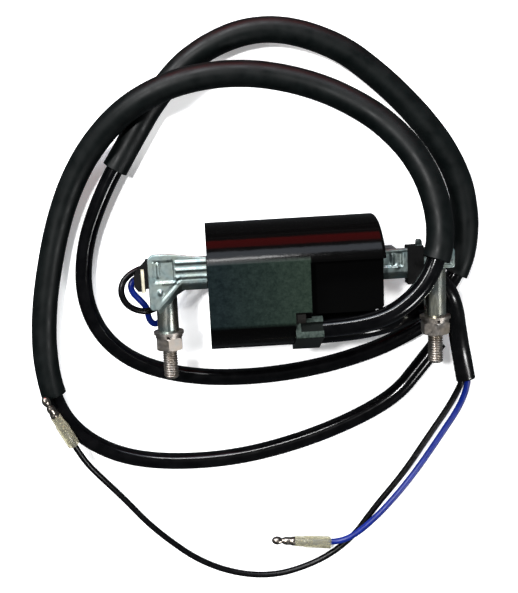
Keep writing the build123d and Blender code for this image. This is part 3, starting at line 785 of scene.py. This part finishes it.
def right_shape(x):
    """The same edges for the right bracket: a straight arm with a tab that stands up from it."""
    from_end = BRACKET_END - x
    top = RIGHT_TOP - rounded_end(from_end, 2.5)
    if TAB[0] < x < TAB[1]:
        top = TAB_TOP - rounded_end(min(x - TAB[0], TAB[1] - x), 0.8)
    beyond = ramp_up(x, LUG_INNER - 0.2, 0.4)
    low = RIGHT_EDGE + 0.7 * beyond + rounded_end(from_end, 1.2)
    return top, low, FLANGE + (NO_FLANGE - FLANGE) * beyond


def right_relief(x, y):
    """How far the right bracket's face is raised: a pocket with a bead, a dimple, a rim and a curled tab."""
    pocket = -0.8 * plateau(x, 31.4, 39.4, 0.9) * plateau(y, 10.0, 16.2, 0.9)
    bead = 0.7 * bump(x - 35.3, 1.1) * plateau(y, 10.5, 15.8)
    dimple = 0.6 * bump(math.dist((x, y), RIGHT_DIMPLE), 1.6)
    rim = 0.35 * bump(y - 16.6, 0.8) * plateau(x, 30.0, 43.0)
    curl = 0.9 * ramp_up(y, 18.0, 2.4)
    corner = 0.4 * plateau(x, 53.0, 58.6) * plateau(y, 9.6, 12.0)
    return pocket + bead + dimple + rim + curl + corner


def make_brackets():
    """Both pressed brackets, each with its lug."""
    left = (-1, "left", left_shape, left_relief, (-BRACKET_END, CASE_LEFT))
    right = (1, "right", right_shape, right_relief, (CASE_RIGHT, BRACKET_END))
    for side, name, shape, relief, ends in (left, right):
        def build(work):
            pressed_sheet(work, shape, relief, ends)
            lug_plate(work, side)

        piece = new_piece(f"bracket_{name}", mesh_of(f"bracket_{name}", build), "zinc")
        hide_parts(f"{name}_bracket")


HEAD_TOP = LUG_FRONT + 4.0
HEAD_FLAT = 5.0            # half the distance across the head's flats
HEAD_FACE_R = 4.5
SHANK_R = 2.64
SHANK_END = AXIS_Y - 19.5
NUT_END = SHANK_END - 5.0
STUD_END = NUT_END - 12.0
PITCH = 1.0
CREST_R = 2.97
ROOT_R = 2.42
TIP_R = 2.3
TIP_CHAMFER = 0.6
CENTRE_R = 0.02            # radius of the flat that closes each end
BOLT_SIDES = 48
STATIONS_PER_MM = 8        # cross-sections along the stud
HEAD_OUTLINE = [           # Y, and the radius that the hexagon is cut back to there
    (HEAD_TOP - 0.1, 4.75), (HEAD_TOP - 0.5, 5.35), (HEAD_TOP - 0.7, 5.9), (LUG_FRONT + 0.3, 5.9),
    (LUG_FRONT, 5.5),
]


def head_radius(limit, angle):
    """A hexagon's radius at an angle, cut back to a limit."""
    return min(limit, HEAD_FLAT / math.cos(angle % (math.pi / 3) - math.pi / 6))


def stud_radius(y, angle):
    """The plain shank's radius, or beyond the nut that of a triangular thread."""
    if y >= NUT_END:
        return SHANK_R
    phase = (y / PITCH + angle / (2 * math.pi)) % 1.0
    return ROOT_R + (CREST_R - ROOT_R) * min(1.0, 1.25 * (1 - abs(2 * phase - 1)))


def make_bolts():
    """Mounting bolts with chamfered heads and a cut thread on the free end."""
    angles = [2 * math.pi * k / BOLT_SIDES for k in range(BOLT_SIDES)]

    def plain(y, radius):
        return y, [radius] * BOLT_SIDES

    outline = [plain(HEAD_TOP, CENTRE_R), plain(HEAD_TOP, HEAD_FACE_R)]
    outline += [(y, [head_radius(limit, a) for a in angles]) for y, limit in HEAD_OUTLINE]
    outline += [plain(LUG_FRONT, SHANK_R), plain(SHANK_END + 0.2, SHANK_R)]
    length = SHANK_END - STUD_END - TIP_CHAMFER
    steps = round(length * STATIONS_PER_MM)
    for i in range(steps + 1):
        y = SHANK_END - length * i / steps
        outline.append((y, [stud_radius(y, a) for a in angles]))
    outline += [plain(STUD_END, TIP_R), plain(STUD_END, CENTRE_R)]
    for side, name in ((-1, "left"), (1, "right")):
        rings = []
        for y, radii in outline:
            rings.append([Vector((side * BOLT_X - math.cos(a) * radius, y, AXIS_Z + math.sin(a) * radius))
                          for a, radius in zip(angles, radii)])
        mesh = mesh_of(f"bolt_{name}", lambda work: add_rings(work, rings))
        piece = new_piece(f"bolt_{name}", mesh, "bolt")
        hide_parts(f"{name}_bolt")


# =============================== camera, light and floor ===============================

SENSOR = 36.0
LENS = 54.395
SHIFT = (0.0860, -0.0177)  # puts the aim point left of and above the picture's middle
TILT = math.radians(11.0)
ROLL = math.radians(3.4)
DISTANCE = 354.0           # from the aim point to the camera
AIM = (CASE_LEFT, AXIS_Y, AXIS_Z)
FLOOR_SIZE = 3.0
FLOOR_GAP = 0.0004


def make_camera():
    """The camera looks down on the left end of the case's axis, tilted towards +Y and rolled a little."""
    back = Vector((0, math.sin(TILT), math.cos(TILT)))
    level = Vector((0, math.cos(TILT), -math.sin(TILT)))
    across = Vector((1, 0, 0))
    right = across * math.cos(ROLL) - level * math.sin(ROLL)
    up = across * math.sin(ROLL) + level * math.cos(ROLL)
    data = bpy.data.cameras.new("camera")
    data.sensor_width = SENSOR
    data.lens = LENS
    data.shift_x, data.shift_y = SHIFT
    data.clip_start = 0.01
    data.clip_end = 20.0
    camera = bpy.data.objects.new("camera", data)
    bpy.context.scene.collection.objects.link(camera)
    place = metres(Vector(AIM) + back * DISTANCE)
    turn = Matrix((right, up, back)).transposed().to_4x4()
    camera.matrix_world = Matrix.Translation(place) @ turn
    bpy.context.scene.camera = camera


def area_light(name, place, aim, size, power, colour=(1, 1, 1)):
    """A rectangular soft light, in metres and watts."""
    data = bpy.data.lights.new(name, "AREA")
    data.shape = "RECTANGLE"
    data.size, data.size_y = size
    data.energy = power
    data.color = colour
    light = bpy.data.objects.new(name, data)
    bpy.context.scene.collection.objects.link(light)
    light.location = place
    light.visible_camera = False
    light.rotation_mode = "QUATERNION"
    light.rotation_quaternion = (Vector(aim) - Vector(place)).to_track_quat("-Z", "Y")


def make_stage():
    """A plain pale floor that glossy surfaces don't mirror, soft studio light and a dim surround."""
    def build(work):
        bmesh.ops.create_grid(work, x_segments=1, y_segments=1, size=FLOOR_SIZE / MM)

    floor = bpy.data.objects.new("floor", mesh_of("floor", build))
    floor.location.z = -FLOOR_GAP
    floor.visible_glossy = False
    bpy.context.scene.collection.objects.link(floor)
    m = Shader("floor_paper", (0.93, 0.93, 0.93), 0.9, emission_strength=0.3)
    m.set("Emission Color", (1.0, 1.0, 1.0, 1.0))
    m.bump(m.noise(1.0, 3.0), 0.01, 0.2)
    floor.data.materials.append(m.material)
    world = bpy.data.worlds.new("studio")
    bpy.context.scene.world = world
    world.use_nodes = True
    background = world.node_tree.nodes["Background"].inputs
    background["Color"].default_value = (0.72, 0.8, 0.85, 1.0)
    background["Strength"].default_value = 0.12
    centre = (-0.02, -0.02, 0.02)
    area_light("key", (-0.40, 0.86, 0.72), centre, (1.1, 0.07), 24.0)
    area_light("sky", (-0.10, 1.06, 0.52), centre, (1.2, 0.26), 11.0, (0.80, 0.88, 1.0))
    area_light("lamp", (-0.42, 0.34, 1.15), centre, (0.10, 0.10), 16.0)
    area_light("fill", (0.9, -0.7, 1.0), centre, (0.3, 0.3), 16.0)
    area_light("warm_card", (0.0, 0.9, 0.06), (0, 0.02, 0.04), (0.9, 0.26), 4.2, (1.0, 0.008, 0.008))


# =============================== assembly ===============================

# The CAD nodes that are shown as they are, and the material of each.
CARRIED = {
    "case_shell": "case", "lead_retainer": "retainer",
    "potting_compound": "potting", "core_laminations": "core",
    "primary_bobbin": "bobbin", "primary_winding": "primary",
    "secondary_bobbin": "bobbin", "secondary_winding": "secondary",
    "ht_terminal_a": "tinned", "ht_terminal_b": "tinned", "ht_link_a": "copper", "ht_link_b": "copper",
    "right_arm_band": "band", "wire_block": "band", "insulator_strip": "board",
}
for side in ("left", "right"):
    CARRIED.update({f"{side}_spacer": "tube", f"{side}_washer": "bolt", f"{side}_spring_washer": "bolt",
                    f"{side}_nut": "bolt"})
for node, material in CARRIED.items():
    paint(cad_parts[node], material)

bpy.context.scene.view_settings.view_transform = "Standard"
make_camera()
make_stage()
make_brackets()
make_bolts()
make_cords()
